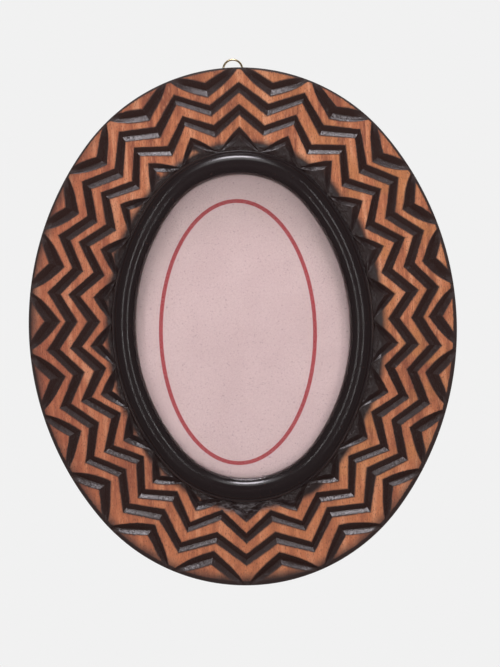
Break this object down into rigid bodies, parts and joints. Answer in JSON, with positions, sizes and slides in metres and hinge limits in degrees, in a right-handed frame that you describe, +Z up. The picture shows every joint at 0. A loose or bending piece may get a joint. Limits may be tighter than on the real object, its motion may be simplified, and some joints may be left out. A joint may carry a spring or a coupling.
{
  "type": "oval picture frame",
  "caption": "Oval wall picture frame with a zigzag-carved wooden band, a black bead round the glazed opening, turn buttons behind and a swinging hanging ring.",
  "frame": {"origin": "centre of the oval on the flat back of the carved board", "axes": "+Z up the frame's height, +Y out of the back towards the wall, +X to the right seen from the front"},
  "size_m": [0.2424, 0.0227, 0.2994],
  "materials": {
    "carved_wood": "oiled lands with grooves and rim painted black",
    "black_lacquer": "satin black lacquer",
    "clear_glass": "clear float glass",
    "card_paper": "uncoated card with a printed oval line",
    "hardboard": "smooth brown hardboard",
    "screw_steel": "brass-plated",
    "button_brass": "stamped, bright",
    "hanger_brass": "drawn and folded, bright"
  },
  "bodies": {
    "frame": {"carved_frame": "carved_wood", "bead_moulding": "black_lacquer", "glass_pane": "clear_glass", "photo_card": "card_paper", "backing_board": "hardboard", "turn_button_screws": "screw_steel", "hanger_strap": "hanger_brass", "hanger_screw": "screw_steel"},
    "ring": {"hanging_ring": "hanger_brass"},
    "button_1": {"turn_button_1": "button_brass"},
    "button_2": {"turn_button_2": "button_brass"},
    "button_3": {"turn_button_3": "button_brass"},
    "button_4": {"turn_button_4": "button_brass"}
  },
  "joints": [
    {"name": "ring_swing", "type": "hinge", "parent": "frame", "child": "ring", "pos_m": [0, 0.00138, 0.1416], "axis": [-1, 0, 0], "range_deg": [0, 170]},
    {"name": "button_1_turn", "type": "hinge", "parent": "frame", "child": "button_1", "pos_m": [0.05482, 0.0007, 0.06443], "axis": [0, 1, 0], "continuous": true},
    {"name": "button_2_turn", "type": "hinge", "parent": "frame", "child": "button_2", "pos_m": [0.05482, 0.0007, -0.06443], "axis": [0, 1, 0], "continuous": true},
    {"name": "button_3_turn", "type": "hinge", "parent": "frame", "child": "button_3", "pos_m": [-0.05482, 0.0007, -0.06443], "axis": [0, 1, 0], "continuous": true},
    {"name": "button_4_turn", "type": "hinge", "parent": "frame", "child": "button_4", "pos_m": [-0.05482, 0.0007, 0.06443], "axis": [0, 1, 0], "continuous": true}
  ]
}
